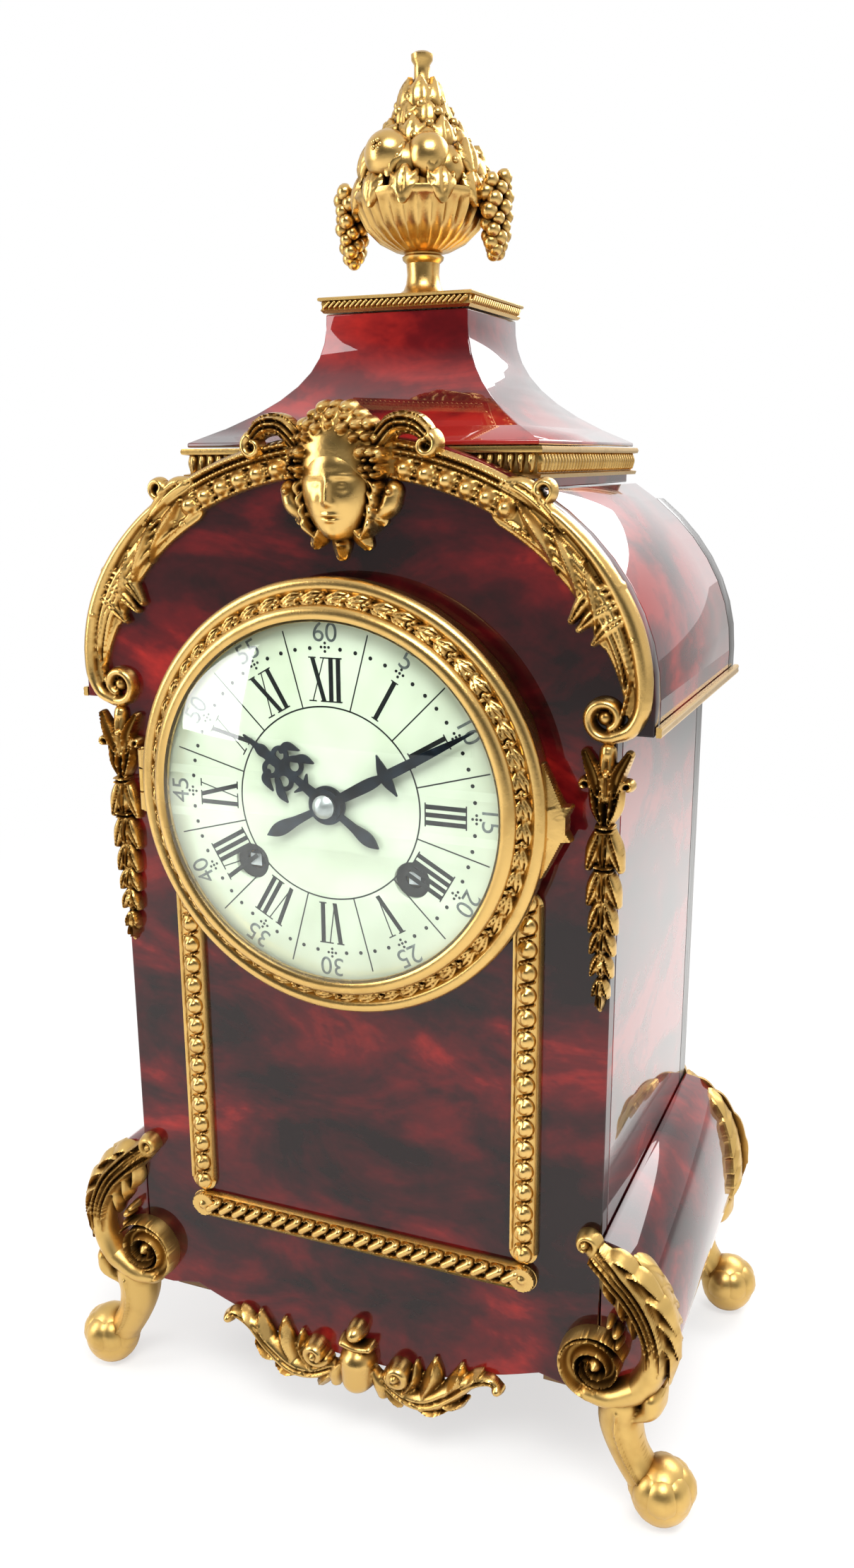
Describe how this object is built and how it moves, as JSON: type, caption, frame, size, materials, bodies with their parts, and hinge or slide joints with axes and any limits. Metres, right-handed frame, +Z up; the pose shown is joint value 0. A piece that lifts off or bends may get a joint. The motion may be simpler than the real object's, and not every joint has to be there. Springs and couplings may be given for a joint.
{
  "type": "bracket clock",
  "caption": "Waisted veneered bracket clock with gilt bronze mounts, arched hood, pagoda roof, fruit finial, hinged domed bezel, enamel dial and a striking pendulum movement.",
  "frame": {"origin": "on the floor, under the middle of the clock's box", "axes": "+X to the viewer's right as the dial is read, +Y from the dial to the back, +Z up"},
  "size_m": [0.1926, 0.1322, 0.3734],
  "materials": {
    "tortoiseshell": "red tortoiseshell veneer under clear gloss",
    "ebonised_wood": "ebonised, polished",
    "carcass_wood": "plain oak, waxed",
    "gilt_bronze": "fire gilt, burnished and matt, brown in the recesses",
    "brass": "lacquered",
    "steel": "polished",
    "blued_steel": "blued to near black",
    "enamel": "white vitreous enamel, gloss",
    "glass": "domed, polished",
    "bell_metal": "polished pale bronze"
  },
  "bodies": {
    "case": {"front_board": "tortoiseshell", "side_left": "tortoiseshell", "side_right": "tortoiseshell", "base_board": "carcass_wood", "console_left": "tortoiseshell", "console_right": "tortoiseshell", "hood_shell": "tortoiseshell", "back_frame": "ebonised_wood", "rear_door_hinge_rod": "brass", "roof_plinth": "tortoiseshell", "plinth_moulding": "gilt_bronze", "roof_caddy": "tortoiseshell", "cap_moulding": "gilt_bronze", "finial_stem": "gilt_bronze", "finial_urn": "gilt_bronze", "finial_fruit": "gilt_bronze", "arch_mount_left": "gilt_bronze", "arch_mount_right": "gilt_bronze", "mask_mount": "gilt_bronze", "hood_fillet_left": "gilt_bronze", "hood_fillet_right": "gilt_bronze", "garland_left": "gilt_bronze", "garland_right": "gilt_bronze", "panel_border_left": "gilt_bronze", "panel_border_right": "gilt_bronze", "panel_border_bottom": "gilt_bronze", "apron_mount": "gilt_bronze", "corner_foot_front_left": "gilt_bronze", "corner_foot_front_right": "gilt_bronze", "corner_foot_rear_left": "gilt_bronze", "corner_foot_rear_right": "gilt_bronze", "dial_ring": "brass", "dial_plate": "enamel", "front_plate": "brass", "back_plate": "brass", "suspension_cock": "brass", "bell": "bell_metal"},
    "bezel": {"bezel": "gilt_bronze", "bezel_glass": "glass"},
    "rear_door": {"rear_door": "ebonised_wood"},
    "door_knob": {"rear_door_knob": "brass"},
    "hand_arbor": {"centre_wheel": "brass", "minute_hand": "blued_steel", "hand_nut": "steel"},
    "hour_pipe": {"hour_wheel": "brass", "hour_hand": "blued_steel"},
    "motion_wheel": {"minute_wheel": "brass"},
    "going_barrel": {"going_barrel": "brass"},
    "going_winding": {"going_winding_arbor": "steel"},
    "second_wheel": {"going_second_wheel": "brass"},
    "third_wheel": {"third_wheel": "brass"},
    "escape_wheel": {"escape_wheel": "brass"},
    "anchor": {"anchor": "steel"},
    "pendulum": {"pendulum_rod": "brass", "pendulum_bob": "brass"},
    "strike_barrel": {"strike_barrel": "brass"},
    "strike_winding": {"strike_winding_arbor": "steel"},
    "pin_wheel": {"pin_wheel": "brass"},
    "fly": {"fly": "brass"},
    "hammer": {"hammer": "steel"}
  },
  "joints": [
    {"name": "bezel_hinge", "type": "hinge", "parent": "case", "child": "bezel", "pos_m": [-0.0574, -0.0498, 0.192], "axis": [0, 0, -1], "range_deg": [0, 110]},
    {"name": "rear_door_hinge", "type": "hinge", "parent": "case", "child": "rear_door", "pos_m": [-0.0457, 0.05905, 0.142], "axis": [0, 0, 1], "range_deg": [0, 110]},
    {"name": "door_knob_turn", "type": "hinge", "parent": "rear_door", "child": "door_knob", "pos_m": [0.0364, 0.05705, 0.142], "axis": [0, 1, 0], "range_deg": [0, 90]},
    {"name": "minute_turn", "type": "hinge", "parent": "case", "child": "hand_arbor", "pos_m": [0, -0.033, 0.192], "axis": [0, 1, 0], "continuous": true},
    {"name": "hour_turn", "type": "hinge", "parent": "case", "child": "hour_pipe", "pos_m": [0, -0.05, 0.192], "axis": [0, 1, 0], "continuous": true},
    {"name": "motion_wheel_turn", "type": "hinge", "parent": "case", "child": "motion_wheel", "pos_m": [0, -0.05, 0.178], "axis": [0, 1, 0], "continuous": true},
    {"name": "going_barrel_turn", "type": "hinge", "parent": "case", "child": "going_barrel", "pos_m": [0.022, -0.037, 0.175], "axis": [0, 1, 0], "continuous": true},
    {"name": "going_winding_turn", "type": "hinge", "parent": "case", "child": "going_winding", "pos_m": [0.022, -0.05, 0.175], "axis": [0, 1, 0], "continuous": true},
    {"name": "second_wheel_turn", "type": "hinge", "parent": "case", "child": "second_wheel", "pos_m": [0.01247, -0.033, 0.19253], "axis": [0, 1, 0], "continuous": true},
    {"name": "third_wheel_turn", "type": "hinge", "parent": "case", "child": "third_wheel", "pos_m": [0.00418, -0.033, 0.20348], "axis": [0, 1, 0], "continuous": true},
    {"name": "escape_wheel_turn", "type": "hinge", "parent": "case", "child": "escape_wheel", "pos_m": [0, -0.025, 0.21357], "axis": [0, 1, 0], "continuous": true},
    {"name": "pendulum_swing", "type": "hinge", "parent": "case", "child": "pendulum", "pos_m": [0, -0.00145, 0.22487], "axis": [0, 1, 0], "range_deg": [-4, 4]},
    {"name": "anchor_rock", "type": "hinge", "parent": "case", "child": "anchor", "pos_m": [0, -0.02, 0.22487], "axis": [0, 1, 0], "range_deg": [-4, 4]},
    {"name": "strike_turn", "type": "hinge", "parent": "case", "child": "strike_barrel", "pos_m": [-0.022, -0.037, 0.175], "axis": [0, 1, 0], "continuous": true},
    {"name": "strike_winding_turn", "type": "hinge", "parent": "case", "child": "strike_winding", "pos_m": [-0.022, -0.05, 0.175], "axis": [0, 1, 0], "continuous": true},
    {"name": "pin_wheel_turn", "type": "hinge", "parent": "case", "child": "pin_wheel", "pos_m": [-0.02374, -0.033, 0.19487], "axis": [0, 1, 0], "continuous": true},
    {"name": "fly_turn", "type": "hinge", "parent": "case", "child": "fly", "pos_m": [-0.01828, -0.033, 0.20433], "axis": [0, 1, 0], "continuous": true},
    {"name": "hammer_lift", "type": "hinge", "parent": "case", "child": "hammer", "pos_m": [-0.034, -0.02, 0.204], "axis": [0, 1, 0], "range_deg": [0, 20], "stiffness_Nm_per_rad": 0.002, "springref_deg": -8.59}
  ],
  "couplings": [
    {"joint": "hour_turn", "follows": "minute_turn", "ratio": 0.083333},
    {"joint": "motion_wheel_turn", "follows": "minute_turn", "ratio": -0.33333},
    {"joint": "second_wheel_turn", "follows": "minute_turn", "ratio": -0.3},
    {"joint": "going_barrel_turn", "follows": "minute_turn", "ratio": 0.075},
    {"joint": "third_wheel_turn", "follows": "minute_turn", "ratio": -3.3333},
    {"joint": "escape_wheel_turn", "follows": "minute_turn", "ratio": 11.111},
    {"joint": "anchor_rock", "follows": "pendulum_swing", "ratio": 1},
    {"joint": "pin_wheel_turn", "follows": "strike_turn", "ratio": -4},
    {"joint": "fly_turn", "follows": "strike_turn", "ratio": 13.333}
  ]
}
